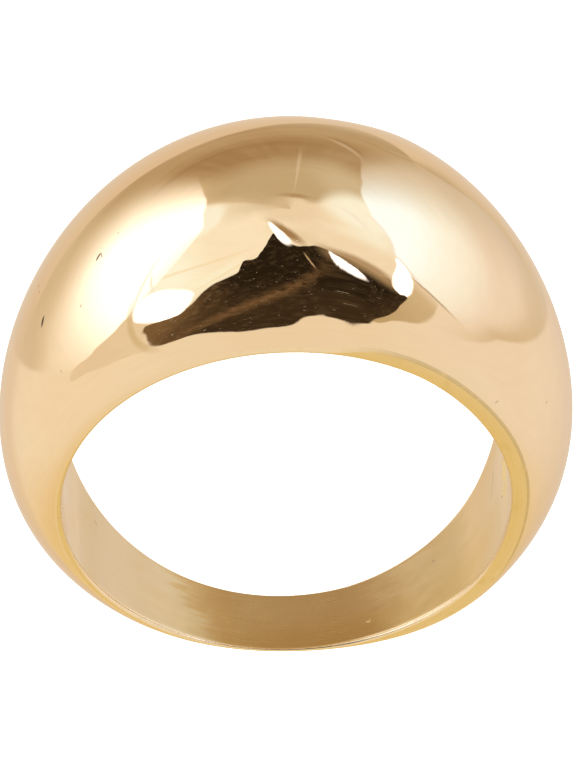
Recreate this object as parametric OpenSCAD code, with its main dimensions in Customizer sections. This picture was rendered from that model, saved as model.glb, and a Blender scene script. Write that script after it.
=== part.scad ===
// Domed statement ring: one piece of metal, tall and wide over the finger and
// tapering to a narrow, thin band at the back. It lies on one of its two flat
// side faces with the dome toward -Y, and the finger bore leans a little to +Y.
// Millimetres, +Z up, origin on the surface under the middle of the ring.

/* [Finger bore] */
// Diameter of the round bore for the finger
bore_d = 17.3; // [15:0.1:21]

/* [Width along the finger] */
// Width of the ring at the bore's edge under the top of the dome
dome_w = 11.65; // [9:0.05:14]
// Width of the ring at the bore's edge at the back of the finger
back_w = 3.45; // [2.5:0.05:5]

/* [Metal over the bore] */
// Thickness at the top of the dome
dome_t = 5.3; // [4.5:0.05:6]
// Thickness halfway down the shoulders, 45 degrees from the top
shoulder_t = 3.8; // [3.3:0.05:4.4]
// Thickness at the two sides, 90 degrees from the top
side_t = 2.25; // [1.9:0.05:2.6]
// Thickness where the band thins toward the back, 135 degrees from the top
heel_t = 1.15; // [1.1:0.05:1.4]
// Thickness at the back of the finger
back_t = 0.7; // [0.6:0.05:1]

/* [Flat side faces] */
// Breadth of the flat face beside the bore, under the top of the dome
dome_land = 0.35; // [0.2:0.05:0.5]
// Breadth halfway down the right shoulder; the right-hand side is toward -X
right_shoulder_land = 0.6; // [0.3:0.05:0.7]
// Breadth at the right-hand side
right_land = 0.5; // [0.3:0.05:0.7]
// Breadth where the band thins toward the back, on the right
right_heel_land = 0.65; // [0.3:0.05:0.7]
// Breadth at the back of the finger
back_land = 0.1; // [0.1:0.05:0.3]
// Breadth where the band thins toward the back, on the left
left_heel_land = 0.3; // [0.2:0.05:0.6]
// Breadth at the left-hand side, toward +X
left_land = 0.25; // [0.2:0.05:0.5]
// Breadth halfway down the left shoulder
left_shoulder_land = 0.15; // [0.1:0.05:0.5]

/* [Roundness of the section] */
// At the top: 1 is a half ellipse, 2 is a flatter arch with sloping flanks
dome_power = 0.95; // [0.9:0.05:1.4]
// At the two sides
side_power = 1.25; // [1:0.05:1.6]
// At the back
back_power = 1.7; // [1.2:0.05:2]

/* [Facets] */
// Sections around the bore
around = 96; // [48:8:120]
// Strips across each section
across = 20; // [12:2:28]

/* [Hidden] */

bore_r = bore_d / 2;
// The blank's inner wall stands this far inside the bore, which is cut through it
bore_stock = 0.8;
// The bore's cutter passes this far beyond the widest part of the ring
cut_past = 2;
// No flat face gets narrower than this, wherever the blend around the ring dips
least_land = 0.08;
gold = "#e3bf85";

// Each side face is a plane. Its distance from the middle of the ring, along the
// bore, is side_mid on the bore's axis and grows toward the dome by side_slope.
side_mid = (dome_w + back_w) / 4;
side_slope = (dome_w - back_w) / (4 * bore_r);
taper = atan(side_slope);

// Places around the ring are angles from the top of the dome, growing toward -X.
// round_blend passes through an even number of values spaced evenly around the
// ring, the first at the top, with the smoothest waves that reach them all, so
// the polished surface has no crease where one value hands over to the next.
function added(list) = list * [for (i = list) 1];
function pull(count, away) =
    (1 + 2 * added([for (k = [1 : count / 2 - 1]) cos(k * away)]) + cos(count / 2 * away)) / count;
function round_blend(values, angle) =
    let (count = len(values))
    added([for (j = [0 : count - 1]) values[j] * pull(count, angle - 360 * j / count)]);

thicknesses = [dome_t, shoulder_t, side_t, heel_t, back_t, heel_t, side_t, shoulder_t];
lands = [
    dome_land, right_shoulder_land, right_land, right_heel_land,
    back_land, left_heel_land, left_land, left_shoulder_land
];
powers = [dome_power, side_power, back_power, side_power];
function thickness(angle) = round_blend(thicknesses, angle);
function land(angle) = max(least_land, round_blend(lands, angle));
function power(angle) = round_blend(powers, angle);

// Half the ring's width at a radius and an angle, where the side faces lie
function half_width(radius, angle) = side_mid + side_slope * radius * cos(angle);

// A point by its radius and angle about the bore, and its place along the bore
function at(radius, angle, along) = [-radius * sin(angle), -radius * cos(angle), along];

// One section of the blank: its two inner corners, then the crown from the lower
// flat face over the crest to the upper one. Sweep runs from -90 to 90 degrees.
function section(angle) =
    let (
        inner = bore_r - bore_stock,
        edge = bore_r + land(angle),
        rise = thickness(angle) - land(angle),
        half = half_width(edge, angle)
    )
    concat(
        [at(inner, angle, half_width(inner, angle))],
        [at(inner, angle, -half_width(inner, angle))],
        [for (i = [0 : across])
            let (sweep = -90 + 180 * i / across)
            at(edge + rise * pow(max(cos(sweep), 0), power(angle)), angle, half * sin(sweep))]
    );

per_section = across + 3;
blank_points = [for (s = [0 : around - 1]) each section(360 * s / around)];
function corner(s, i) = (s % around) * per_section + i % per_section;
blank_faces = [for (s = [0 : around - 1], i = [0 : per_section - 1]) each [
    [corner(s, i), corner(s, i + 1), corner(s + 1, i + 1)],
    [corner(s, i), corner(s + 1, i + 1), corner(s + 1, i)]
]];

// Laying the ring down turns its lower side face level, which leans the bore
lean = -taper;
function turned_y(p) = p.y * cos(lean) - p.z * sin(lean);
laid_y = [for (p = blank_points) turned_y(p)];
middle_y = (min(laid_y) + max(laid_y)) / 2;
lift = side_mid * cos(taper);

module lay_down() {
    translate([0, -middle_y, lift]) rotate([lean, 0, 0]) children();
}

module blank() {
    polyhedron(points = blank_points, faces = blank_faces, convexity = 6);
}

module finger_bore() {
    cut_length = dome_w + 2 * cut_past;
    translate([0, 0, -cut_length / 2]) cylinder(r = bore_r, h = cut_length, $fn = 180);
}

module ring() {
    color(gold) lay_down() difference() {
        blank();
        finger_bore();
    }
}

ring();
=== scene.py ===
"""A domed gold-tone statement ring that lies on its side in a small light tent."""
import math

import bpy
import numpy as np
from mathutils import Matrix, Vector


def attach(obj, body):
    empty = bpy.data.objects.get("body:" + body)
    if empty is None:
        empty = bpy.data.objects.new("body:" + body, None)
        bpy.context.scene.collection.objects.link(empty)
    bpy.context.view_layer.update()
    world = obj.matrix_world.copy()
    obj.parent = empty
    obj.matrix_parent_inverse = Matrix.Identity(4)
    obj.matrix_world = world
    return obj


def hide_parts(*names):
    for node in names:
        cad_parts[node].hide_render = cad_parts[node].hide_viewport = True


MM = 0.001

# Sizes of the ring in millimetres, the same as in the part's source. THICKNESS and
# POWER, the roundness of the section, are spaced evenly round the ring from its top.
BORE_R = 8.65
DOME_W = 11.65
BACK_W = 3.45
THICKNESS = (5.3, 3.8, 2.25, 1.15, 0.7, 1.15, 2.25, 3.8)
POWER = (0.95, 1.25, 1.7, 1.25)
SIDE_MID = (DOME_W + BACK_W) / 4
SIDE_SLOPE = (DOME_W - BACK_W) / (4 * BORE_R)
TAPER = math.atan(SIDE_SLOPE)

# The bore's centre in the row frame: its height follows from the taper, and its
# place along Y from the crests at the two ends of the ring's box
BORE_CENTRE_Y = 2.2993
BORE_CENTRE_Z = SIDE_MID * math.cos(TAPER)
BORE_CENTRE = Vector((0, BORE_CENTRE_Y, BORE_CENTRE_Z))

# Breadth of the flat side face beside the bore, finer than in the part's source and
# spaced evenly round the ring from its top. Over the left shoulder it narrows to
# LEAST_LAND, and it widens again just right of the top.
LAND = (0.3, 0.62, 0.56, 0.52, 0.5, 0.6, 0.65, 0.33, 0.11, 0.2, 0.3, 0.3, 0.22, 0.12, 0.1, 0.1)
LEAST_LAND = 0.08
NARROW_FROM = math.radians(-70), math.radians(-50)
NARROW_TO = math.radians(5), math.radians(21)

# Rounding of the edges in millimetres, and the most of the flat face that it takes.
# The bore's edge is worn soft at the back and crisp at the ring's right, where it
# leans a little into the bore as a low lip.
BORE_EDGE_ROUND = 0.05, 0.17
BORE_EDGE_SHARE = 0.65
OUTER_EDGE_ROUND = 0.06
OUTER_EDGE_SHARE = 0.3
WORN_FROM, WORN_TO = math.radians(95), math.radians(135)
LIP = 0.14
LIP_MIDDLE = math.radians(78)
LIP_REACH = math.radians(48)
LIP_DEPTH = 0.9

# The crease between the crown and the flat side face, which shows on the ring's right
CREASE_MIDDLE = math.radians(65)
CREASE_END = math.cos(math.radians(60))
CREASE_DEPTH = 0.3
CREASE_LEAST = 0.01

# How finely the shown ring is meshed
AROUND = 480
CROWN_STEPS = 96
FACE_STEPS = 4
EDGE_STEPS = 5
BORE_STEPS = 24

# Places of the finishes in the ring's list of materials
MIRROR, SIDE_FACE, BORE, EDGE = range(4)


def round_blend(values, angle):
    """Passes through values spaced evenly round the ring from its top, with the smoothest waves."""
    count = len(values)
    total = 0
    for place, value in enumerate(values):
        away = angle - 2 * math.pi * place / count
        waves = sum(np.cos(wave * away) for wave in range(1, count // 2))
        pull = 1 + 2 * waves + np.cos(count // 2 * away)
        total = total + value * pull / count
    return total


def thickness(angle):
    return round_blend(THICKNESS, angle)


def eased(value, low, high):
    """0 below low and 1 above high, smooth between them."""
    share = np.clip((value - low) / (high - low), 0, 1)
    return share**2 * (3 - 2 * share)


def from_top(angle):
    """An angle counted from the top of the dome, up to half a turn either way."""
    return (angle + math.pi) % (2 * math.pi) - math.pi


def land(angle):
    """Breadth of the flat side face beside the bore."""
    narrow = eased(from_top(angle), *NARROW_FROM) * (1 - eased(from_top(angle), *NARROW_TO))
    return max(LEAST_LAND, (1 - narrow) * round_blend(LAND, angle) + narrow * LEAST_LAND)


def crease(angle):
    """How far the crown's foot lies below the land's outer edge, which makes a crease there."""
    return CREASE_LEAST + CREASE_DEPTH * eased(np.cos(angle - CREASE_MIDDLE), CREASE_END, 1)


def lip(angle):
    """How far the bore's edge leans into the bore."""
    return LIP * eased(math.cos(angle - LIP_MIDDLE), math.cos(LIP_REACH), 1)


def bore_round(angle):
    """Rounding of the bore's edge."""
    crisp, worn = BORE_EDGE_ROUND
    return crisp + (worn - crisp) * eased(abs(from_top(angle)), WORN_FROM, WORN_TO)


def half_width(radius, angle):
    """Half the ring's width where its side faces lie."""
    return SIDE_MID + SIDE_SLOPE * radius * math.cos(angle)


def rounded_corner(before, corner, after):
    """Points from before to after that bend round a corner."""
    share = np.linspace(0, 1, EDGE_STEPS + 1)[:, None]
    return (1 - share) ** 2 * before + 2 * share * (1 - share) * corner + share**2 * after


def upper_half_section(angle):
    """(radius, along the bore) from the middle of the bore wall, over the side face, to the crest."""
    breadth = land(angle)
    inner = BORE_R - lip(angle)
    inner_round = min(bore_round(angle), BORE_EDGE_SHARE * breadth)
    outer_round = min(OUTER_EDGE_ROUND, OUTER_EDGE_SHARE * breadth)
    edge = BORE_R + breadth

    def on_face(radius):
        return np.array([radius, half_width(radius, angle)])

    bore_corner, outer_corner = on_face(inner), on_face(edge)
    bore_top = bore_corner - [0, inner_round]
    heights = np.linspace(0, bore_top[1], BORE_STEPS // 2 + 1)
    leaning = eased(heights, bore_top[1] - LIP_DEPTH, bore_top[1] + LIP_DEPTH) * 2
    wall = np.stack([BORE_R - lip(angle) * leaning, heights], -1)
    face = np.linspace(on_face(inner + inner_round), on_face(edge - outer_round), FACE_STEPS + 1)

    foot = breadth - crease(angle)
    rise = thickness(angle) - foot
    power = round_blend(POWER, angle)
    last_sweep = math.acos(((breadth - foot) / rise) ** (1 / power))
    sweep = np.linspace(last_sweep, 0, CROWN_STEPS // 2 + 1)[1:]
    radii = BORE_R + foot + rise * np.cos(sweep) ** power
    crown = np.stack([radii, half_width(edge, angle) * np.sin(sweep) / math.sin(last_sweep)], -1)
    bore_edge = rounded_corner(bore_top, bore_corner, face[0])
    outer_edge = rounded_corner(face[-1], outer_corner, crown[0])
    return np.concatenate([wall[:-1], bore_edge[:-1], face[:-1], outer_edge[:-1], crown])


def lie_down(points):
    """Turns points from the bore's own frame to the resting ring's, in metres."""
    lean = -TAPER
    x, y, z = points.T
    turned_y = y * math.cos(lean) - z * math.sin(lean)
    turned_z = y * math.sin(lean) + z * math.cos(lean)
    return np.stack([x, turned_y + BORE_CENTRE_Y, turned_z + BORE_CENTRE_Z], -1) * MM


def ring_mesh():
    """The ring as one closed mesh, with a material index for each face."""
    sections = []
    for angle in np.linspace(0, 2 * math.pi, AROUND, endpoint=False):
        half = upper_half_section(angle)
        lower = half[-2:0:-1] * [1, -1]
        radius, along = np.concatenate([half, lower]).T
        sections.append(np.stack([-radius * math.sin(angle), -radius * math.cos(angle), along], -1))
    corners = len(sections[0])
    quads = []
    for section in range(AROUND):
        here, there = section * corners, (section + 1) % AROUND * corners
        for corner in range(corners):
            following = (corner + 1) % corners
            quads.append((here + corner, here + following, there + following, there + corner))
    mesh = bpy.data.meshes.new("ring_shown")
    mesh.from_pydata(lie_down(np.concatenate(sections)).tolist(), [], quads)
    mesh.polygons.foreach_set("use_smooth", [True] * len(quads))
    half_zones = [BORE] * (BORE_STEPS // 2) + [EDGE] * EDGE_STEPS
    half_zones += [SIDE_FACE] * FACE_STEPS + [EDGE] * EDGE_STEPS
    half_zones += [MIRROR] * (corners // 2 - len(half_zones))
    mesh.polygons.foreach_set("material_index", (half_zones + half_zones[::-1]) * AROUND)
    mesh.validate()
    mesh.update()
    return mesh


# Where a mix node keeps its two colours and their mixture
MIX_FIRST, MIX_SECOND, MIX_RESULT = 6, 7, 2


class Graph:
    """A short way to write node trees."""

    def __init__(self, tree):
        self.tree = tree

    def node(self, kind, *values, **settings):
        """A node with its first inputs fed in order. A setting with a capital names an input."""
        made = self.tree.nodes.new(kind)
        named = {key: settings.pop(key) for key in list(settings) if key[0].isupper()}
        for key, value in settings.items():
            setattr(made, key, value)
        for socket, value in zip(made.inputs, values):
            self.feed(socket, value)
        for key, value in named.items():
            self.feed(made.inputs[key], value)
        return made

    def feed(self, socket, value):
        """Links a value that varies into a socket, and sets one that is the same all over."""
        if isinstance(value, bpy.types.NodeSocket):
            self.tree.links.new(value, socket)
        elif socket.type == "RGBA" and len(value) == 3:
            socket.default_value = (*value, 1)
        else:
            socket.default_value = value

    def math(self, operation, *values):
        return self.node("ShaderNodeMath", *values, operation=operation).outputs[0]

    def vector(self, operation, *values, **settings):
        return self.node("ShaderNodeVectorMath", *values, operation=operation, **settings).outputs[0]

    def dot(self, vector, direction):
        made = self.node("ShaderNodeVectorMath", vector, direction, operation="DOT_PRODUCT")
        return made.outputs["Value"]

    def product(self, first, *others):
        for other in others:
            first = self.math("MULTIPLY", first, other)
        return first

    def distance(self, first, second):
        """How far from zero the point with these two coordinates lies."""
        square = self.math("ADD", self.product(first, first), self.product(second, second))
        return self.math("SQRT", square)

    def wrapped(self, degrees, start):
        """Degrees counted from a start, up to half a turn either way."""
        return self.math("WRAP", self.math("SUBTRACT", degrees, start), 180, -180)

    def smooth(self, value, none, full):
        """0 where the value is none and 1 where it is full, with soft ends."""
        made = self.node("ShaderNodeMapRange", value, none, full, 0, 1, interpolation_type="SMOOTHSTEP")
        return made.outputs["Result"]

    def between(self, share, at_none, at_full):
        """A value that goes straight from at_none to at_full as a share goes from 0 to 1."""
        return self.math("MULTIPLY_ADD", share, at_full - at_none, at_none)

    def mix(self, share, first, second, most=1.0):
        """The first colour, with the second mixed in by a share of most."""
        if most < 1:
            share = self.product(share, most)
        made = self.node("ShaderNodeMix", data_type="RGBA")
        self.feed(made.inputs["Factor"], share)
        self.feed(made.inputs[MIX_FIRST], first)
        self.feed(made.inputs[MIX_SECOND], second)
        return made.outputs[MIX_RESULT]


# The finger frame: right, away from the near rim, and toward the dome's top
AXES = ((1, 0, 0), (0, 1, 0), (0, 0, 1))


def in_row(direction):
    """A direction in the finger frame turned to the row frame."""
    right, away, top = direction
    lean = TAPER
    return Vector((
        -right,
        -top * math.cos(lean) - away * math.sin(lean),
        top * math.sin(lean) - away * math.cos(lean),
    ))


# The furthest that a corner of an outline may lie from its centre
OUTLINE_REACH = 80.0
# The least that a bar which narrows keeps of its width
LEAST_WIDTH = 0.1


class Patch:
    """A small flat map about a centre: how far across and up each point lies from it."""

    def __init__(self, graph, across, up, centre):
        self.graph = graph
        self.across = across
        self.up = up
        self.centre = centre

    def along(self, across, up):
        """A slanted coordinate: across and up, weighted."""
        graph = self.graph
        return graph.math("MULTIPLY_ADD", self.up, up, graph.product(self.across, across))

    def outlined(self, corners, soft):
        """1 inside an outline round the centre, with an edge that is soft either way."""
        graph = self.graph
        away = [(across - self.centre[0], up - self.centre[1]) for across, up in corners]
        polar = sorted((math.atan2(up, across), math.hypot(across, up)) for across, up in away)
        (first_turn, first_reach), (last_turn, last_reach) = polar[0], polar[-1]
        share = (math.pi - last_turn) / (first_turn + 2 * math.pi - last_turn)
        join = last_reach + (first_reach - last_reach) * share
        polar = [(-math.pi, join), *polar, (math.pi, join)]

        curve = graph.node("ShaderNodeFloatCurve")
        curve.inputs["Factor"].default_value = 1
        points = curve.mapping.curves[0].points
        while len(points) < len(polar):
            points.new(0.5, 0.5)
        for point, (turn, reach) in zip(points, polar):
            point.location = (turn / (2 * math.pi) + 0.5, reach / OUTLINE_REACH)
        curve.mapping.update()
        turn = graph.math("ARCTAN2", self.up, self.across)
        graph.feed(curve.inputs["Value"], graph.math("MULTIPLY_ADD", turn, 0.5 / math.pi, 0.5))
        edge = graph.product(curve.outputs[0], OUTLINE_REACH)
        past_edge = graph.math("SUBTRACT", graph.distance(self.across, self.up), edge)
        return graph.smooth(past_edge, none=soft, full=-soft)

    def bar(self, turn, half_length, half_width, soft, square=4, widening=0):
        """1 inside a bar on the centre, which may widen along its length. Square 2 is an ellipse."""
        graph = self.graph
        slant = math.radians(turn)
        lengthways = graph.math("DIVIDE", self.along(math.cos(slant), math.sin(slant)), half_length)
        sideways = graph.math("DIVIDE", self.along(-math.sin(slant), math.cos(slant)), half_width)
        if widening:
            wider = graph.math("MULTIPLY_ADD", lengthways, widening, 1)
            sideways = graph.math("DIVIDE", sideways, graph.math("MAXIMUM", wider, LEAST_WIDTH))
        powers = [graph.math("POWER", graph.math("ABSOLUTE", way), square) for way in (lengthways, sideways)]
        reach = graph.math("POWER", graph.math("ADD", *powers), 1 / square)
        return graph.smooth(reach, none=1 + soft, full=1 - soft)


# Finish of the gold. Places on the ring are its turn from the top of the dome, in
# degrees that grow toward the ring's right, and millimetres along the bore from
# the middle, growing away from the near rim. Heights are in millimetres too.
GOLD = (0.92, 0.70, 0.42)
GOLD_WARM = (0.915, 0.68, 0.405)
# Painted reflection: the side faces' gold is yellower than the dome's, as gold mirrored in gold
SIDE_GOLD = (0.87, 0.655, 0.32)
SIDE_GOLD_OUTER = (0.88, 0.69, 0.39)
SIDE_GOLD_DARK = (0.80, 0.58, 0.26)
EDGE_GOLD = (0.93, 0.72, 0.43)
EDGE_CREASE_SHADE = (0.62, 0.46, 0.22)
BORE_EDGE_SHADE = (0.66, 0.46, 0.22)
BORE_GOLD = (0.90, 0.69, 0.39)
# BORE_YELLOW paints a yellower reflection toward the near rim, and also tints random mottling
BORE_YELLOW = (0.87, 0.64, 0.29)
BORE_BROWN = (0.84, 0.60, 0.28)
# Painted dark reflection on the bore's dull patch
BORE_DARK_REFLECTION = (0.80, 0.52, 0.19)
BORE_SMEAR = (0.93, 0.69, 0.30)
GRAIN_GOLD = (1.0, 0.80, 0.36)
# Painted shade: the dark colour put into pits and nicks
PIT_SHADE = (0.10, 0.055, 0.02)

# Direction and seed of each set of fine scratches, and how soft their lines are
SCRATCHES = (((0.8, 0.3, 0.52), 3), ((0.25, -0.75, 0.6), 10), ((-0.45, 0.7, 0.55), 17))
SCRATCH_SOFT = 0.06

# Turn, place along the bore, slant, half length, half width and darkness of each nick
# The darkness sets both the shade painted into each nick and its depth
CROWN_NICKS = (
    (-52.3, -1.89, 36, 0.19, 0.075, 1.0),
    (-35.4, -1.95, 28, 0.16, 0.042, 0.95),
    (-34.7, -2.0, 90, 0.11, 0.035, 0.6),
    (-42.2, -3.04, 20, 0.05, 0.045, 0.4),
    (-53.8, -3.88, 60, 0.05, 0.04, 0.3),
    (-51.5, -0.04, 0, 0.05, 0.05, 0.4),
    (-51.4, -0.42, 0, 0.05, 0.05, 0.4),
    (-30.5, -1.6, 0, 0.045, 0.045, 0.3),
    (53.2, -4.96, 20, 0.04, 0.03, 0.3),
    (64.7, -3.42, 70, 0.05, 0.035, 0.35),
)
BORE_NICKS = (
    (136.4, 0.84, 60, 0.12, 0.05, 0.4),
    (103.5, -0.62, 30, 0.06, 0.05, 0.6),
    (-92.0, -2.6, 50, 0.05, 0.04, 0.4),
    (-123.4, 1.34, 40, 0.14, 0.10, 0.2),
    (109.6, 1.2, 104, 0.75, 0.022, 0.3),
    (108.4, 1.75, 95, 0.45, 0.018, 0.25),
)
# Depth of a fully dark nick as a share of its half width
NICK_DEPTH = 0.12

# A pit's flat middle as a share of its radius, and the share of the pits that have
# their whole depth
PIT_MIDDLE = 0.4
PIT_WHOLE = 0.9

# Grains left from the casting, in uneven clusters: turn, place along the bore,
# slant, half length and half width of each cluster
BORE_GRAINS = (
    (100.6, 0.15, 95, 1.0, 0.34),
    (101.2, 1.2, 0, 0.1, 0.1),
    (156.8, -0.79, 0, 0.09, 0.09),
)

# The bore's dull patch at the back, which carries a painted dark reflection: how far its ends shift
# along the bore, in degrees a millimetre, and how far its streaks reach past them or fall short, in degrees
DULL_PATCH_SLANT = 3.8
DULL_PATCH_RAGGED = 11

# Turn of the middle of the olive shade painted on the outer edge, along the crease
CREASE_SHADE_TURN = 68


class Metal:
    """A gold whose finish is drawn in the ring's own coordinates."""

    def __init__(self, name, colour, roughness):
        self.material = bpy.data.materials.new(name)
        self.material.use_nodes = True
        graph = Graph(self.material.node_tree)
        self.graph = graph
        self.colour = colour
        self.roughness = roughness
        self.height = 0.0
        place = graph.node("ShaderNodeTexCoord").outputs["Object"]
        place = graph.vector("SUBTRACT", place, BORE_CENTRE * MM)
        self.place = graph.vector("SCALE", place, Scale=1 / MM)
        self.right, self.away, self.top = (graph.dot(self.place, in_row(axis)) for axis in AXES)
        self.radius = graph.distance(self.right, self.top)
        self.turn = graph.math("DEGREES", graph.math("ARCTAN2", self.right, self.top))

    def patch(self, turn, along):
        graph = self.graph
        across = graph.product(graph.math("RADIANS", graph.wrapped(self.turn, turn)), self.radius)
        return Patch(graph, across, graph.math("SUBTRACT", self.away, along), (turn, along))

    def noise(self, scale, detail=2.0):
        return self.graph.node("ShaderNodeTexNoise", self.place, Scale=scale, Detail=detail).outputs["Fac"]

    def streaks(self, direction, length, width, seed):
        """Noise that changes fast along a direction and slowly across it."""
        graph = self.graph
        way = Vector(direction).normalized()
        fast = graph.math("DIVIDE", graph.dot(self.place, way), width)
        slow = graph.vector("SCALE", self.place, Scale=1 / length)
        drawn = graph.vector("ADD", graph.vector("SCALE", way, Scale=fast), slow)
        drawn = graph.vector("ADD", drawn, (seed, -seed, 2 * seed))
        return graph.node("ShaderNodeTexNoise", drawn, Scale=1.0, Detail=1.0).outputs["Fac"]

    def raise_by(self, share, height):
        self.height = self.graph.math("MULTIPLY_ADD", share, height, self.height)

    def roughen(self, share, amount):
        self.roughness = self.graph.math("MULTIPLY_ADD", share, amount, self.roughness)

    def tint(self, share, colour, most=1.0):
        self.colour = self.graph.mix(share, self.colour, colour, most)

    def scratches(self, level, amount):
        """Fine rougher lines in a few directions, in patches where the ring was rubbed."""
        graph = self.graph
        rubbed = graph.smooth(self.noise(scale=0.22), none=0.45, full=0.65)
        for direction, seed in SCRATCHES:
            drawn = self.streaks(direction, length=1.6, width=0.035, seed=seed)
            lines = graph.smooth(drawn, none=level, full=level + SCRATCH_SOFT)
            self.roughen(graph.product(lines, rubbed), amount)

    def pits(self, scale, share, radius, depth):
        """Sparse round pits with painted shade: a share of the cells of a given size has one each."""
        graph = self.graph
        cells = graph.node("ShaderNodeTexVoronoi", self.place, Scale=scale)
        chosen = graph.node("ShaderNodeSeparateColor", cells.outputs["Color"]).outputs[0]
        reach = radius * scale
        inside = graph.smooth(cells.outputs["Distance"], none=reach, full=PIT_MIDDLE * reach)
        pits = graph.product(inside, graph.smooth(chosen, none=1 - share, full=1 - PIT_WHOLE * share))
        # Painted shade in the pits
        self.tint(pits, PIT_SHADE, most=0.6)
        self.roughen(pits, amount=0.2)
        self.raise_by(pits, -depth)

    def nick(self, turn, along, slant, half_length, half_width, darkness):
        shape = self.patch(turn, along).bar(slant, half_length, half_width, soft=0.45, square=2.5)
        # Painted shade: the nick is darkened as far as its darkness
        self.tint(shape, PIT_SHADE, most=darkness)
        self.roughen(shape, amount=0.25)
        self.raise_by(shape, -NICK_DEPTH * half_width * darkness)

    def finish(self):
        graph = self.graph
        bump = graph.node("ShaderNodeBump", Strength=1.0, Distance=MM, Height=self.height)
        shader = self.material.node_tree.nodes["Principled BSDF"]
        shader.inputs["Metallic"].default_value = 1
        graph.feed(shader.inputs["Base Color"], self.colour)
        graph.feed(shader.inputs["Roughness"], self.roughness)
        graph.feed(shader.inputs["Normal"], bump.outputs[0])
        return self.material


def mirror_gold():
    """The polished outside, with waves from hand polishing, faint smears, scratches and nicks."""
    metal = Metal("gold_mirror", GOLD, roughness=0.015)
    graph = metal.graph
    metal.tint(graph.smooth(metal.noise(scale=0.2), none=0.35, full=0.65), GOLD_WARM)
    metal.raise_by(metal.noise(scale=0.33, detail=1), height=0.010)
    metal.raise_by(metal.noise(scale=2), height=0.0008)
    smears = graph.smooth(metal.noise(scale=0.4, detail=4), none=0.48, full=0.72)
    metal.roughen(smears, amount=0.03)
    metal.scratches(level=0.72, amount=0.03)
    metal.pits(scale=0.8, share=0.04, radius=0.04, depth=0.004)
    for nick in CROWN_NICKS:
        metal.nick(*nick)
    return metal.finish()


def side_face_gold():
    """The flat side faces, with fine lines that run round the bore."""
    # Painted reflection: a yellower gold than the dome's, strongest by the bore and less toward the outer
    # edge
    metal = Metal("gold_side_face", SIDE_GOLD, roughness=0.10)
    graph = metal.graph
    spacing = ((metal.radius, 0.04), (metal.right, 2.5), (metal.top, 2.5))
    drawn = graph.node("ShaderNodeCombineXYZ", *(graph.math("DIVIDE", way, size) for way, size in spacing))
    lines = graph.node("ShaderNodeTexNoise", drawn.outputs[0], Scale=1.0, Detail=2.0).outputs["Fac"]
    metal.tint(graph.smooth(metal.radius, none=BORE_R + 0.05, full=BORE_R + 0.6), SIDE_GOLD_OUTER)
    metal.tint(graph.smooth(lines, none=0.45, full=0.75), SIDE_GOLD_DARK, most=0.5)
    blotches = graph.smooth(metal.noise(scale=1.3, detail=3), none=0.5, full=0.75)
    metal.tint(blotches, SIDE_GOLD_DARK, most=0.6)
    metal.raise_by(lines, height=0.0015)
    metal.raise_by(metal.noise(scale=1.1), height=0.006)
    dull = graph.smooth(metal.noise(scale=0.9, detail=3), none=0.4, full=0.7)
    metal.roughen(dull, amount=0.10)
    metal.pits(scale=1.6, share=0.08, radius=0.04, depth=0.006)
    return metal.finish()


def edge_gold():
    """The rounded edges beside the flat side faces, worn soft, with painted shade: an olive line along
    the crease at the ring's right, and a brown line beside the bore except at the worn back.
    """
    metal = Metal("gold_edge", EDGE_GOLD, roughness=0.2)
    graph = metal.graph
    beyond = graph.math("SUBTRACT", metal.radius, BORE_R)
    from_crease_shade = graph.math("ABSOLUTE", graph.math("SUBTRACT", metal.turn, CREASE_SHADE_TURN))
    outer = graph.smooth(beyond, none=0.2, full=0.3)
    # Painted shade along the crease between the crown and the side face
    metal.tint(graph.product(graph.smooth(from_crease_shade, none=60, full=35), outer), EDGE_CREASE_SHADE, most=0.75)
    # Painted shade: a brown line on the edge beside the bore, left off at the worn back
    inner = graph.smooth(beyond, none=0.12, full=0)
    unworn = graph.smooth(graph.math("ABSOLUTE", metal.turn), none=130, full=100)
    metal.tint(graph.product(inner, unworn), BORE_EDGE_SHADE, most=0.7)
    blotches = graph.smooth(metal.noise(scale=2.2, detail=3), none=0.5, full=0.7)
    metal.tint(blotches, SIDE_GOLD, most=0.4)
    metal.raise_by(metal.noise(scale=1.4), height=0.004)
    dull = graph.smooth(metal.noise(scale=3, detail=3), none=0.45, full=0.7)
    metal.roughen(dull, amount=0.12)
    return metal.finish()


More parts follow.
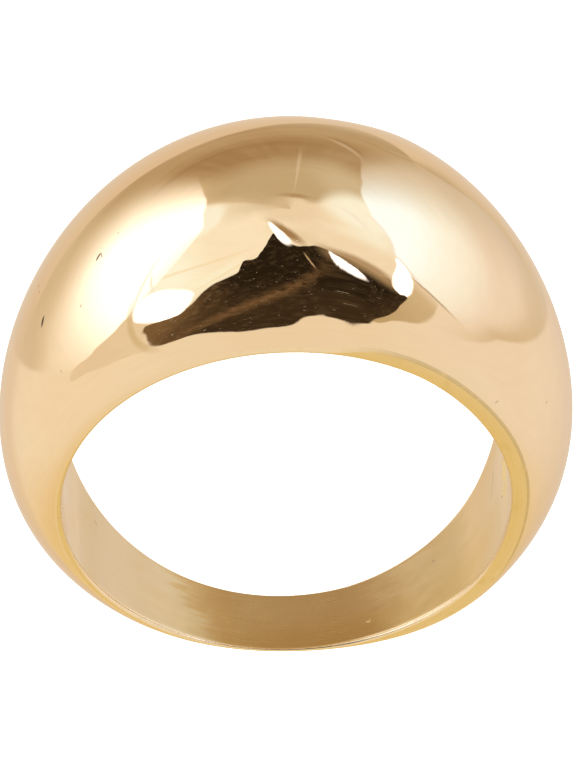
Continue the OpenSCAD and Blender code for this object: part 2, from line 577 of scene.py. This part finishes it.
def bore_gold():
    """The bore, less well polished: soft waves, brushed streaks, a dull patch and casting grains. The
    brown on the dull patch and the yellow toward the near rim are painted reflections.
    """
    metal = Metal("gold_bore", BORE_GOLD, roughness=0.09)
    graph = metal.graph
    bore_axis = in_row((0, 1, 0))
    brushed = metal.streaks(bore_axis, length=3.5, width=0.09, seed=5)
    mottled = graph.smooth(metal.noise(scale=0.7, detail=4), none=0.45, full=0.75)
    behind = graph.wrapped(metal.turn, 180)
    ragged = metal.streaks(bore_axis, length=2.2, width=0.3, seed=9)
    ragged = graph.between(ragged, -DULL_PATCH_RAGGED, DULL_PATCH_RAGGED)
    left_end = graph.math("MULTIPLY_ADD", metal.away, -DULL_PATCH_SLANT, behind)
    left_end = graph.math("ADD", left_end, ragged)
    right_end = graph.math("MULTIPLY_ADD", metal.away, -DULL_PATCH_SLANT, ragged)
    right_end = graph.math("SUBTRACT", right_end, behind)
    left_part = graph.smooth(left_end, none=25, full=19)
    dull_patch_painted_dark = graph.product(left_part, graph.smooth(right_end, none=34, full=24))
    near_rim = graph.smooth(metal.away, none=0.6, full=-1.4)
    # Painted reflection: the bore is yellower toward the near rim, over its left part
    metal.tint(graph.product(graph.smooth(left_end, none=52, full=9), near_rim), BORE_YELLOW, most=0.8)
    metal.tint(mottled, BORE_YELLOW, most=0.5)
    # Painted dark reflection on the dull patch: weak over all of it, strongest at the near rim and the left
    metal.tint(dull_patch_painted_dark, BORE_BROWN, most=0.2)
    at_rim = graph.product(near_rim, 0.5)
    at_left = graph.product(graph.smooth(behind, none=6, full=16), 0.75)
    metal.tint(graph.product(dull_patch_painted_dark, graph.math("MAXIMUM", at_rim, at_left)), BORE_DARK_REFLECTION)
    metal.tint(graph.smooth(brushed, none=0.5, full=0.8), BORE_BROWN, most=0.3)
    smear = metal.patch(turn=100.5, along=-0.6)
    metal.tint(smear.bar(turn=90, half_length=1.1, half_width=0.4, soft=0.8, square=2), BORE_SMEAR)
    metal.raise_by(metal.noise(scale=0.45), height=0.04)
    metal.raise_by(metal.noise(scale=2.5), height=0.002)
    metal.raise_by(brushed, height=0.0012)
    metal.roughen(graph.smooth(brushed, none=0.4, full=0.7), amount=0.05)
    metal.roughen(mottled, amount=0.05)
    metal.roughen(dull_patch_painted_dark, amount=0.13)
    metal.pits(scale=1, share=0.06, radius=0.05, depth=0.006)
    for nick in BORE_NICKS:
        metal.nick(*nick)
    crumbs = graph.smooth(metal.noise(scale=2.3), none=0.42, full=0.5)
    for turn, along, slant, half_length, half_width in BORE_GRAINS:
        cluster = metal.patch(turn, along).bar(slant, half_length, half_width, soft=0.6, square=2)
        grains = graph.product(cluster, crumbs)
        metal.tint(grains, GRAIN_GOLD)
        metal.roughen(grains, amount=0.35)
        metal.raise_by(grains, height=0.006)
    return metal.finish()


# Light tent, painted on the world by direction. Places in it are in degrees:
# azimuth 0 is toward the near rim and 90 toward the ring's right, elevation 90
# is over the dome and -90 behind the thin back of the band.
TABLE_LEFT = (0.97, 0.94, 0.92)
TABLE_RIGHT = (0.94, 0.915, 0.95)
TABLE_NEAR = (0.92, 0.88, 0.85)
TABLE_FAR = (0.80, 0.69, 0.58)
TABLE_LOW = (0.87, 0.745, 0.48)
TABLE_SHADE = (0.66, 0.56, 0.44)
SIDE_WALL = (0.72, 0.64, 0.52)
SIDE_WALL_FOOT = (0.76, 0.69, 0.61)
FAR_WALL_FOOT = (0.54, 0.43, 0.30)
FAR_WALL_MIDDLE = (0.41, 0.295, 0.18)
FAR_WALL_TOP = (0.60, 0.53, 0.42)
FAR_WALL_CREASE = (0.36, 0.25, 0.14)
ROOF_LEFT = (1.06, 1.11, 1.17)
ROOF_RIGHT = (0.98, 0.97, 0.99)
ROOF_PEAK = (0.93, 0.9, 0.9)
ROOF_STRIP = (0.62, 0.55, 0.44)
ROOF_FOLD = (1.0, 0.97, 0.88)
ROOF_FOLD_LIT = (1.07, 1.25, 1.4)
WALL_BY_LAMP = (0.71, 0.68, 0.62)
SECOND_LAMP = (1.07, 1.26, 1.5)
LEFT_GLOW = (1.1, 1.28, 1.5)
LEFT_LAMP_LIGHT = (1.9, 2.1, 2.6)
LAMP = (2.2, 2.4, 3.3)
RIGHT_LAMP_LOW = (0.95, 0.93, 1.02)
RIGHT_LAMP_MIDDLE = (1.08, 1.25, 1.52)
RIGHT_LAMP_HIGH = (1.15, 1.5, 2.15)
RIGHT_LAMP_END = (0.72, 0.67, 0.63)
LIT_SEAM = (1.03, 1.12, 1.4)
CURTAIN = (0.57, 0.48, 0.34)
CURTAIN_FOOT = (0.72, 0.64, 0.53)
LEFT_CURTAIN = (0.87, 0.81, 0.75)
CURTAIN_EDGE = (0.74, 0.66, 0.52)
SEAM = (0.62, 0.58, 0.56)
DARK_ROOM = (0.022, 0.016, 0.011)
DARK_ROOM_FOLD = (0.22, 0.14, 0.08)
DARK_ROOM_GRAIN = (0.26, 0.2, 0.14)
DARK_ROOM_LIT = (0.48, 0.37, 0.26)
DARK_ROOM_EDGE = (0.5, 0.4, 0.31)
SPARKLE = (0.5, 0.5, 0.48)
# What the tent gives the floor, as one even colour
TENT_GLOW = (0.85, 0.84, 0.82)

# The table's far edge on the left and on the right: its elevation in front, how far
# it drops with each degree toward the back, and the azimuth where the drop starts
TABLE_EDGES = ((-12.5, 0.26, 93), (-1.0, 0.35, 84))

# The arc that ends the table's shaded part at the far left: its bend, its height,
# how soft it is high up and low down, and how strong the shade is low down
ARC_BEND = 0.03
ARC_HEIGHT = 7.5
ARC_SOFT = 1.5, 25.5
ARC_SHADE_LOW = 0.6

# Outlines: (azimuth, elevation) corners round the centre of each patch
LEFT_LAMP = (
    (-152, 22), (-143, 0), (-125, -12), (-105, -15), (-87, -12), (-78, -10), (-74, -8), (-69, -4),
    (-65, 2), (-63, 8), (-63, 12), (-64, 22), (-66, 34), (-74, 47), (-88, 56), (-97, 56.5),
    (-110, 55.5), (-115, 55.5), (-120, 54.5), (-125, 53), (-130, 50), (-135, 47), (-140, 43),
    (-143, 40), (-148, 35),
)
RIGHT_LAMP = (
    (63, 28), (63, 20), (65.5, 12), (70, -6), (85, -20), (110, -28), (135, -28), (148, -12),
    (152, 7), (155, 9), (159, 15), (160, 22), (158, 28), (156, 32), (153, 36), (150, 40.5),
    (145, 46), (140, 50), (136, 53.5), (132, 56), (125, 58.5), (115, 60), (100, 60.5), (90, 59),
    (80, 55), (75, 53), (67, 49), (66, 40), (64, 34),
)
RIGHT_WINDOW = (
    (42, 40), (46, 42.5), (52, 44.5), (58, 46.3), (65, 48.5), (66, 46), (65.5, 42), (63.5, 36),
    (60, 32), (55, 28.5), (50, 25.5), (46, 24.5), (42, 26), (38.5, 30), (38, 34), (39.5, 38),
)
LEFT_WINDOW = (
    (-63, 17), (-60, 14), (-56, 11), (-50, 9.5), (-44, 9), (-38, 8.7), (-34.5, 9.5), (-34, 14),
    (-35, 20), (-37.5, 25), (-42, 27.5), (-48, 28.5), (-54, 28), (-59, 26), (-63, 22),
)
NEAR_CURTAIN = (
    (8, 3), (22, 4), (30, 3.5), (38, 4.5), (45, 7.5), (50, 10.5), (56, 14.5), (62, 19), (63, 26),
    (61, 32), (54, 28), (46, 24), (36, 21), (20, 12), (9, 8),
)
OPENING = (
    (-33, 26), (-33, 19), (-33.5, 13), (-35.5, 10), (-46.5, 7.5), (-41, 0.5), (-37, -4), (-30.5, -9.6),
    (-25, -9.6), (-19.6, -8.4), (-15, -10), (-11, -12), (-6.5, -14), (-3, -12.7), (0, -12),
    (1.2, -11), (2.1, -9.6), (3, -6.6), (4, -3.6), (5, -2.2), (6, -1.6), (7, -1.2), (8, 0.2),
    (9, 2.4), (11, 5), (14, 6.8), (20.4, 9.7), (29.6, 14.2), (36, 18.5), (43, 21.5), (46, 24.5),
    (41, 27.5), (37, 35), (39.5, 40), (32, 43.5), (29, 48), (26, 54), (24, 57.5), (12, 60), (3, 61),
    (-2, 66), (-11, 68.5), (-21, 70), (-20, 63.5), (-20, 54), (-21.5, 49.5), (-27, 48), (-25, 42),
    (-25, 38.5), (-28, 35), (-31.5, 31),
)
LEFT_WEDGE = (
    (-76, -12), (-69, -4), (-64, 5), (-61, 13), (-54, 11), (-46, 7.5), (-42, 1), (-38, -4),
    (-33, -9.5), (-40, -10), (-49, -10.5), (-62, -11.5),
)

# Soft bars of light and shade: azimuth and elevation of the centre, turn, half length,
# half width, softness, squareness, the most that is mixed in, and the colour
TABLE_BARS = ((152, -52, 0, 50, 22, 0.8, 2, 0.38, TABLE_SHADE),)
LEFT_ROOF_BARS = ((-112, 73, 0, 24, 9, 0.9, 2, 0.5, WALL_BY_LAMP),)
ROOF_PEAK_BARS = ((170, 78.5, 0, 5, 1.5, 0.9, 2, 0.7, FAR_WALL_MIDDLE),)
FAR_WALL_BARS = (
    (174, 56, 92, 14, 0.7, 0.9, 3, 0.4, ROOF_PEAK),
    (162, 26, -40, 7, 0.8, 0.9, 3, 0.4, ROOF_PEAK),
    (163, 23, -40, 7, 1.0, 0.9, 3, 0.6, FAR_WALL_CREASE),
    (155.5, 7, 45, 4.5, 0.7, 0.9, 3, 1.0, ROOF_STRIP),
    (143, 57, -12, 22, 9, 0.8, 2, 0.8, WALL_BY_LAMP),
    (158, 40, 90, 15, 11, 0.9, 2, 0.35, FAR_WALL_TOP),
    (-166, 28, -6, 22, 1.4, 0.9, 3, 0.5, FAR_WALL_CREASE),
)
GLOW_BARS = (
    (-98, 57, -6, 18, 7, 0.3, 2.5, 1.0, SECOND_LAMP),
    (-68, 31, -15, 26, 15, 0.6, 2.2, 1.0, LEFT_GLOW),
    (99, 65, 3, 31, 10, 0.45, 2.2, 1.0, SECOND_LAMP),
    (64, 60, -35, 14, 7, 0.9, 2, 0.6, SECOND_LAMP),
    (-34, 37, 65, 12, 4.5, 0.8, 2.5, 0.8, ROOF_FOLD_LIT),
    (-50, 43, 34, 20, 1.0, 0.9, 3, 0.7, ROOF_FOLD),
    (-30, 40, 60, 12, 0.8, 0.9, 3, 0.6, ROOF_FOLD),
)
LEFT_LAMP_SEAMS = (
    (-72, 25.5, -48, 15, 0.7, 0.6, 4, 0.8, LIT_SEAM),
    (-68, 28.5, -25, 7, 0.6, 0.6, 4, 0.8, LIT_SEAM),
)
RIGHT_LAMP_SEAMS = (
    (94, 67.5, 14, 16, 0.9, 0.6, 4, 0.8, LIT_SEAM),
    (83, 55.8, 18, 19, 0.9, 0.6, 4, 0.8, LIT_SEAM),
)
LEFT_CURTAIN_BARS = ((-48, 2, -39, 20, 1.1, 0.7, 4, 1.0, CURTAIN_EDGE),)
WINDOW_BARS = (
    (66, 40, 82, 9, 1.1, 0.5, 4, 1.0, LIT_SEAM),
    (63.5, 24, 95, 11, 0.9, 0.5, 4, 1.0, SEAM),
    (31, 48, -48, 13, 4.8, 0.6, 2.5, 1.0, DARK_ROOM_EDGE),
)
OPENING_TOP_BARS = (
    (6, 69, -40, 10, 4, 0.9, 2, 0.2, CURTAIN),
    (-5, 72, -53, 10.5, 2.0, 0.6, 2.5, 1.0, FAR_WALL_MIDDLE),
)
OPENING_BARS = ((10.7, 48, -76, 6, 0.5, 0.4, 4, 1.0, DARK_ROOM_EDGE),)
# Lit slits: azimuth and elevation of the centre, turn, half length, half width,
# softness, squareness and widening
SLITS = (
    (-13.4, 70.6, -55, 9.8, 1.6, 0.25, 2.5, 0.35),
    (22.8, 46.4, 80, 8.2, 1.15, 0.25, 2.5, -0.6),
)
# How far the tent's other half is moved off a patch near its top, in degrees
FAR_OFF = 1000


class Tent:
    """The tent's colour as it is painted, and where each ray points in it."""

    def __init__(self, graph):
        self.graph = graph
        self.toward = graph.node("ShaderNodeTexCoord").outputs["Generated"]
        right, away, top = (graph.dot(self.toward, in_row(axis)) for axis in AXES)
        self.azimuth = graph.math("DEGREES", graph.math("ARCTAN2", right, graph.product(away, -1)))
        self.elevation = graph.math("DEGREES", graph.math("ARCSINE", top))
        self.from_front = graph.math("ABSOLUTE", self.azimuth)
        self.over_edge = graph.math("SUBTRACT", self.elevation, self.table_edge())
        self.colour = TABLE_LEFT

    def table_edge(self):
        """Elevation of the table's far edge, from its left side to its right side."""
        graph = self.graph
        heights = []
        for height, drop, start in TABLE_EDGES:
            beyond = graph.math("MAXIMUM", graph.math("SUBTRACT", self.from_front, start), 0)
            heights.append(graph.math("MULTIPLY_ADD", beyond, -drop, height))
        left, right = heights
        on_right = self.turning(none=-20, full=20)
        left_part = graph.product(left, graph.math("SUBTRACT", 1, on_right))
        return graph.math("ADD", left_part, graph.product(right, on_right))

    def patch(self, azimuth, elevation):
        graph = self.graph
        across = graph.wrapped(self.azimuth, azimuth)
        return Patch(graph, across, graph.math("SUBTRACT", self.elevation, elevation), (azimuth, elevation))

    def spot(self, azimuth, elevation):
        """A patch measured on the flat sheet that touches the tent there, for shapes near its top."""
        graph = self.graph
        around, over = math.radians(azimuth), math.radians(elevation)
        sin_around, cos_around = math.sin(around), math.cos(around)
        sin_over, cos_over = math.sin(over), math.cos(over)
        sideways = in_row((cos_around, sin_around, 0))
        upward = in_row((-sin_over * sin_around, sin_over * cos_around, cos_over))
        centre = in_row((cos_over * sin_around, -cos_over * cos_around, sin_over))
        behind = graph.math("LESS_THAN", graph.dot(self.toward, centre), 0)
        across, up = (graph.math("DEGREES", graph.dot(self.toward, way)) for way in (sideways, upward))
        return Patch(graph, across, graph.math("MULTIPLY_ADD", behind, FAR_OFF, up), (0, 0))

    def round(self, none, full):
        """0 to 1 by the azimuth counted from the front either way."""
        return self.graph.smooth(self.from_front, none, full)

    def turning(self, none, full):
        """0 to 1 by the azimuth."""
        return self.graph.smooth(self.azimuth, none, full)

    def rising(self, none, full):
        """0 to 1 by the elevation."""
        return self.graph.smooth(self.elevation, none, full)

    def paint(self, share, colour, most=1.0):
        self.colour = self.graph.mix(share, self.colour, colour, most)

    def paint_bars(self, place, bars):
        """Paints a table of bars, each on the patch or spot that place makes at its centre."""
        for azimuth, elevation, turn, half_length, half_width, soft, square, most, colour in bars:
            bar = place(azimuth, elevation).bar(turn, half_length, half_width, soft, square)
            self.paint(bar, colour, most)

    def streaks(self, around, up, seed):
        """Soft noise from 0 to 1 that is drawn out around the tent or up it."""
        graph = self.graph
        turn = graph.math("RADIANS", self.azimuth)
        reach = math.degrees(1 / around)
        circle = (graph.product(graph.math(way, turn), reach) for way in ("SINE", "COSINE"))
        height = graph.math("MULTIPLY_ADD", self.elevation, 1 / up, 9 * seed)
        place = graph.node("ShaderNodeCombineXYZ", *circle, height)
        return graph.node("ShaderNodeTexNoise", place.outputs[0], Scale=1.0, Detail=3.0).outputs["Fac"]


def paint_table(tent):
    tent.paint(tent.turning(none=-60, full=60), TABLE_RIGHT)
    tent.paint(tent.round(none=50, full=5), TABLE_NEAR, most=0.8)
    tent.paint(tent.round(none=105, full=170), TABLE_FAR, most=0.8)
    tent.paint(tent.rising(none=-32, full=-70), TABLE_LOW)
    tent.paint_bars(tent.patch, TABLE_BARS)


def far_wall_cloth(tent):
    """The far wall's colour, with its pleats and creases."""
    graph = tent.graph
    cloth = graph.mix(tent.rising(none=14, full=30), FAR_WALL_FOOT, FAR_WALL_MIDDLE)
    cloth = graph.mix(tent.rising(none=38, full=58), cloth, FAR_WALL_TOP)
    pleats = graph.smooth(tent.streaks(around=5, up=30, seed=1), none=0.4, full=0.75)
    creases = graph.smooth(tent.streaks(around=25, up=2.2, seed=6), none=0.5, full=0.8)
    creases = graph.product(creases, tent.rising(none=60, full=45))
    cloth = graph.mix(pleats, cloth, FAR_WALL_TOP, most=0.22)
    return graph.mix(creases, cloth, FAR_WALL_CREASE, most=0.45)


def paint_walls(tent, far_wall):
    """Side walls over the table's edge, and the shaded far wall."""
    graph = tent.graph
    table = tent.colour
    tent.paint(tent.round(none=95, full=140), SIDE_WALL)
    foot = graph.smooth(tent.over_edge, none=11, full=1)
    seen = graph.math("ADD", tent.turning(none=45, full=90), tent.turning(none=-95, full=-125))
    tent.paint(graph.product(foot, seen), SIDE_WALL_FOOT)
    tent.paint(graph.product(tent.round(none=132, full=154), tent.rising(none=-10, full=6)), far_wall)
    tent.colour = graph.mix(graph.smooth(tent.over_edge, none=-0.8, full=0.8), table, tent.colour)


def paint_table_ends(tent):
    """The table's shaded ends, behind the ring at the far left and the far right."""
    graph = tent.graph
    far_left = tent.patch(azimuth=-167, elevation=0)
    bend = graph.math("POWER", graph.math("ABSOLUTE", far_left.across), 2)
    past_arc = graph.math("ADD", far_left.up, graph.math("MULTIPLY_ADD", bend, ARC_BEND, -ARC_HEIGHT))
    low = tent.rising(none=-14, full=-28)
    soft = graph.between(low, *ARC_SOFT)
    inside = graph.smooth(past_arc, none=soft, full=graph.product(soft, -1))
    tent.paint(graph.product(inside, graph.between(low, 1, ARC_SHADE_LOW)), TABLE_FAR)
    far_right = tent.patch(azimuth=157, elevation=5)
    below = graph.smooth(far_right.along(across=0.87, up=1), none=1, full=-1)
    tent.paint(graph.product(below, graph.smooth(far_right.across, none=-10, full=2)), TABLE_FAR)


def paint_roof(tent, far_wall):
    """The bright roof, its shaded back, and marks on it and on the far wall."""
    graph = tent.graph
    roof = graph.mix(tent.turning(none=-30, full=30), ROOF_LEFT, ROOF_RIGHT)
    front = graph.product(tent.turning(none=-122, full=-115), tent.turning(none=137, full=129))
    tent.paint(graph.product(front, tent.rising(none=4, full=30)), roof)
    tent.paint(graph.product(tent.round(none=112, full=135), tent.rising(none=45, full=60)), far_wall)
    tent.paint(tent.rising(none=75, full=84), ROOF_PEAK)
    from_back_left = graph.math("ABSOLUTE", graph.wrapped(tent.azimuth, -145))
    shade = graph.product(tent.rising(none=70, full=78), graph.smooth(from_back_left, none=60, full=10))
    tent.paint(shade, FAR_WALL_TOP, most=0.6)
    tent.paint_bars(tent.patch, LEFT_ROOF_BARS)
    strip = graph.product(tent.rising(none=74, full=77), tent.rising(none=81, full=79))
    tent.paint(graph.product(strip, tent.turning(none=110, full=150)), ROOF_STRIP)
    tent.paint_bars(tent.spot, ROOF_PEAK_BARS)
    tent.paint_bars(tent.patch, FAR_WALL_BARS)


def paint_lamps(tent):
    """The two lit side panels, whose outer ends fade, and the lit gaps above them."""
    graph = tent.graph
    tent.paint_bars(tent.patch, GLOW_BARS)
    left = tent.patch(azimuth=-105, elevation=22)
    outer = graph.smooth(left.across, none=-44, full=-2)
    lower = graph.math("POWER", graph.smooth(left.along(across=0.12, up=1), none=-38, full=2), 1.3)
    inner = graph.smooth(left.along(across=0.8, up=0.5), none=50, full=22)
    lit = graph.product(left.outlined(LEFT_LAMP, soft=0.7), outer, lower, inner)
    tent.paint(lit, LEFT_LAMP_LIGHT)
    tent.paint_bars(tent.patch, LEFT_LAMP_SEAMS)

    right = tent.patch(azimuth=110, elevation=28)
    lamp = graph.mix(tent.rising(none=2, full=24), RIGHT_LAMP_LOW, RIGHT_LAMP_MIDDLE)
    lamp = graph.mix(tent.rising(none=18, full=48), lamp, RIGHT_LAMP_HIGH)
    lamp = graph.mix(graph.smooth(right.across, none=4, full=46), lamp, RIGHT_LAMP_END)
    end = graph.smooth(right.across, none=50, full=35)
    end = graph.math("MAXIMUM", end, tent.rising(none=40, full=46))
    over_edge = graph.smooth(tent.over_edge, none=1, full=12)
    tent.paint(graph.product(right.outlined(RIGHT_LAMP, soft=0.6), over_edge, end), lamp)
    tent.paint_bars(tent.patch, RIGHT_LAMP_SEAMS)


def paint_front(tent):
    """The curtains, windows and seams round the opening that the dome faces."""
    graph = tent.graph
    curtain = tent.patch(azimuth=38, elevation=14)
    folds = graph.product(tent.streaks(around=9, up=2.5, seed=2), 0.4)
    tone = graph.math("ADD", graph.smooth(curtain.across, none=-22, full=28), folds)
    cloth = graph.mix(graph.math("SUBTRACT", tone, 0.15), CURTAIN, CURTAIN_FOOT)
    inside = curtain.outlined(NEAR_CURTAIN, soft=1.4)
    tent.paint(graph.product(inside, graph.smooth(curtain.across, none=30, full=16)), cloth)
    tent.paint(tent.patch(azimuth=-54, elevation=-2).outlined(LEFT_WEDGE, soft=0.8), LEFT_CURTAIN)
    tent.paint_bars(tent.patch, LEFT_CURTAIN_BARS)
    left_window = tent.patch(azimuth=-50, elevation=20).outlined(LEFT_WINDOW, soft=0.9)
    tent.paint(graph.product(left_window, tent.rising(none=31, full=23)), LAMP)
    tent.paint(tent.patch(azimuth=51, elevation=37).outlined(RIGHT_WINDOW, soft=0.6), LAMP)
    tent.paint_bars(tent.patch, WINDOW_BARS)
    tent.paint_bars(tent.spot, OPENING_TOP_BARS)


def dark_room(tent, opening):
    """What shows in the opening: dark folds that catch some light, with a fine grain and glints."""
    graph = tent.graph
    tail = graph.smooth(opening.across, none=-8, full=-34)
    folds = tent.streaks(around=5, up=28, seed=3)
    folds = graph.math("ADD", folds, graph.smooth(opening.up, none=40, full=-10))
    lit_folds = graph.product(graph.smooth(folds, none=0.8, full=1.5), graph.between(tail, 0.13, 1))
    room = graph.mix(lit_folds, DARK_ROOM, DARK_ROOM_FOLD)
    grain = graph.node("ShaderNodeTexNoise", Scale=22.0, Detail=4.0).outputs["Fac"]
    fold = opening.bar(turn=50, half_length=32, half_width=3.2, soft=0.95, square=2)
    fold = graph.product(fold, graph.smooth(grain, none=0.2, full=0.6))
    room = graph.mix(fold, room, DARK_ROOM_FOLD, most=0.75)
    grains = graph.product(graph.smooth(grain, none=0.45, full=0.7), graph.between(tail, 0.12, 0.52))
    room = graph.mix(grains, room, DARK_ROOM_GRAIN)
    lit_side = tent.patch(azimuth=34, elevation=44)
    lit_side = lit_side.bar(turn=-50, half_length=14, half_width=6, soft=0.8, square=2)
    room = graph.mix(lit_side, room, DARK_ROOM_LIT, most=0.9)
    glints = graph.node("ShaderNodeTexNoise", Scale=60.0, Detail=1.0).outputs["Fac"]
    return graph.mix(graph.smooth(glints, none=0.73, full=0.77), room, SPARKLE, most=0.8)


def paint_opening(tent):
    """The dark opening that the dome faces, with two lit slits at its upper edge."""
    opening = tent.patch(azimuth=-8, elevation=14)
    tent.paint(opening.outlined(OPENING, soft=0.6), dark_room(tent, opening))
    for azimuth, elevation, *slit in SLITS:
        tent.paint(tent.spot(azimuth, elevation).bar(*slit), LAMP)
    tent.paint_bars(tent.patch, OPENING_BARS)


def light_tent():
    """The world: the painted tent, which diffuse rays from the floor see as one even colour."""
    world = bpy.data.worlds.new("light_tent")
    bpy.context.scene.world = world
    world.use_nodes = True
    world.cycles.sampling_method = "NONE"
    world.node_tree.nodes.clear()
    graph = Graph(world.node_tree)
    tent = Tent(graph)
    paint_table(tent)
    far_wall = far_wall_cloth(tent)
    paint_walls(tent, far_wall)
    paint_table_ends(tent)
    paint_roof(tent, far_wall)
    paint_lamps(tent)
    paint_front(tent)
    paint_opening(tent)
    wrinkles = graph.between(tent.streaks(around=14, up=3, seed=4), 0.96, 1.04)
    painted = graph.node("ShaderNodeBackground", tent.colour, wrinkles)
    plain = graph.node("ShaderNodeBackground", TENT_GLOW, 1.0)
    by_floor = graph.node("ShaderNodeLightPath").outputs["Is Diffuse Ray"]
    seen = graph.node("ShaderNodeMixShader", by_floor, painted.outputs[0], plain.outputs[0])
    graph.node("ShaderNodeOutputWorld", Surface=seen.outputs[0])


# Floor: a plain paper sweep in metres, far wider than the ring. It is flat to half
# of its radius and rises beyond that, and its middle is one small many-sided face.
FLOOR_R = 2.0
FLOOR_EDGE_H = 0.5
FLOOR_FLAT = 0.5
FLOOR_MIDDLE_R = 0.001
FLOOR_RINGS = 24
FLOOR_SIDES = 96
FLOOR_PAPER = (0.9, 0.89, 0.87)
FLOOR_ROUGHNESS = 0.9
# The paper shines evenly, as an overexposed white table does
FLOOR_GLOW = 0.75
WHITE = (1, 1, 1)


def floor():
    sides = range(FLOOR_SIDES)
    points = []
    for ring_number in range(FLOOR_RINGS + 1):
        share = ring_number / FLOOR_RINGS
        radius = max(FLOOR_R * share, FLOOR_MIDDLE_R)
        height = FLOOR_EDGE_H * (max(0.0, share - FLOOR_FLAT) / (1 - FLOOR_FLAT)) ** 2
        turns = (2 * math.pi * side / FLOOR_SIDES for side in sides)
        points += [(radius * math.cos(turn), radius * math.sin(turn), height) for turn in turns]
    faces = [tuple(sides)]
    for ring_number in range(FLOOR_RINGS):
        inner, outer = ring_number * FLOOR_SIDES, (ring_number + 1) * FLOOR_SIDES
        for side in sides:
            following = (side + 1) % FLOOR_SIDES
            faces.append((inner + side, outer + side, outer + following, inner + following))
    mesh = bpy.data.meshes.new("floor")
    mesh.from_pydata(points, [], faces)
    mesh.polygons.foreach_set("use_smooth", [True] * len(faces))
    made = bpy.data.objects.new("floor", mesh)
    bpy.context.scene.collection.objects.link(made)
    material = bpy.data.materials.new("floor_paper")
    material.use_nodes = True
    shader = material.node_tree.nodes["Principled BSDF"]
    shader.inputs["Base Color"].default_value = (*FLOOR_PAPER, 1)
    shader.inputs["Roughness"].default_value = FLOOR_ROUGHNESS
    shader.inputs["Emission Color"].default_value = (*WHITE, 1)
    shader.inputs["Emission Strength"].default_value = FLOOR_GLOW
    mesh.materials.append(material)
    made.visible_glossy = False


# A broad soft light over the floor, in metres, which the metal doesn't mirror
FLOOR_LIGHT_HIGH = 0.6
FLOOR_LIGHT_WIDE = 0.9
FLOOR_LIGHT_WATTS = 5.0
FLOOR_LIGHT_COLOUR = (0.93, 0.96, 1.0)


def floor_light():
    data = bpy.data.lights.new("floor_light", "AREA")
    data.shape = "DISK"
    data.size = FLOOR_LIGHT_WIDE
    data.energy = FLOOR_LIGHT_WATTS
    data.color = FLOOR_LIGHT_COLOUR
    made = bpy.data.objects.new("floor_light", data)
    bpy.context.scene.collection.objects.link(made)
    made.location = (0, 0, FLOOR_LIGHT_HIGH)
    made.visible_glossy = False
    made.visible_camera = False


# Camera: the photograph's angle to the ring, found from its outline and hole. The
# angles are in degrees, and the aim and distance in millimetres from the bore's centre.
TIP = 36.39
TURN = 2.86
ROLL = -1.67
AIM_RIGHT = 0.112
AIM_UP = 2.35
DISTANCE = 320.0
PIXELS_HIGH = 768
FOCAL_PIXELS = 8322.0
SENSOR = 36.0
CLIP_NEAR = 0.01
CLIP_FAR = 10.0


def camera():
    tip, turn, roll = (math.radians(angle) for angle in (TIP, TURN, ROLL))
    yaw = Matrix.Rotation(turn, 3, "Z")
    pitch = Matrix(((1, 0, 0), (0, math.sin(tip), math.cos(tip)), (0, math.cos(tip), -math.sin(tip))))
    rolled = Matrix(((math.cos(roll), -math.sin(roll), 0), (math.sin(roll), math.cos(roll), 0), (0, 0, 1)))
    view = rolled @ pitch @ yaw
    right, up, away = (in_row(row) for row in view)
    place = BORE_CENTRE + right * AIM_RIGHT + up * AIM_UP - away * DISTANCE
    data = bpy.data.cameras.new("camera")
    data.sensor_width = SENSOR
    data.lens = FOCAL_PIXELS / PIXELS_HIGH * SENSOR
    data.clip_start = CLIP_NEAR
    data.clip_end = CLIP_FAR
    made = bpy.data.objects.new("camera", data)
    bpy.context.scene.collection.objects.link(made)
    turned = Matrix((right, up, -away)).transposed()
    made.matrix_world = Matrix.Translation(place * MM) @ turned.to_4x4()
    bpy.context.scene.camera = made


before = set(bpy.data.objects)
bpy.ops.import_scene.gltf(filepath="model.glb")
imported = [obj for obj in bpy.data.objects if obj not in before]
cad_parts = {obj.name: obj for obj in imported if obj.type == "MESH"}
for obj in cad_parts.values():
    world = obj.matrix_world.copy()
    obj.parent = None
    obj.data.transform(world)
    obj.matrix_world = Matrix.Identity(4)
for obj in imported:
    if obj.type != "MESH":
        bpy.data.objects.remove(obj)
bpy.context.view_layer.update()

bpy.context.scene.view_settings.view_transform = "Standard"

ring = bpy.data.objects.new("ring_polished", ring_mesh())
bpy.context.scene.collection.objects.link(ring)
for material in (mirror_gold(), side_face_gold(), bore_gold(), edge_gold()):
    ring.data.materials.append(material)
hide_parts("ring")
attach(ring, "root")

floor()
floor_light()
light_tent()
camera()
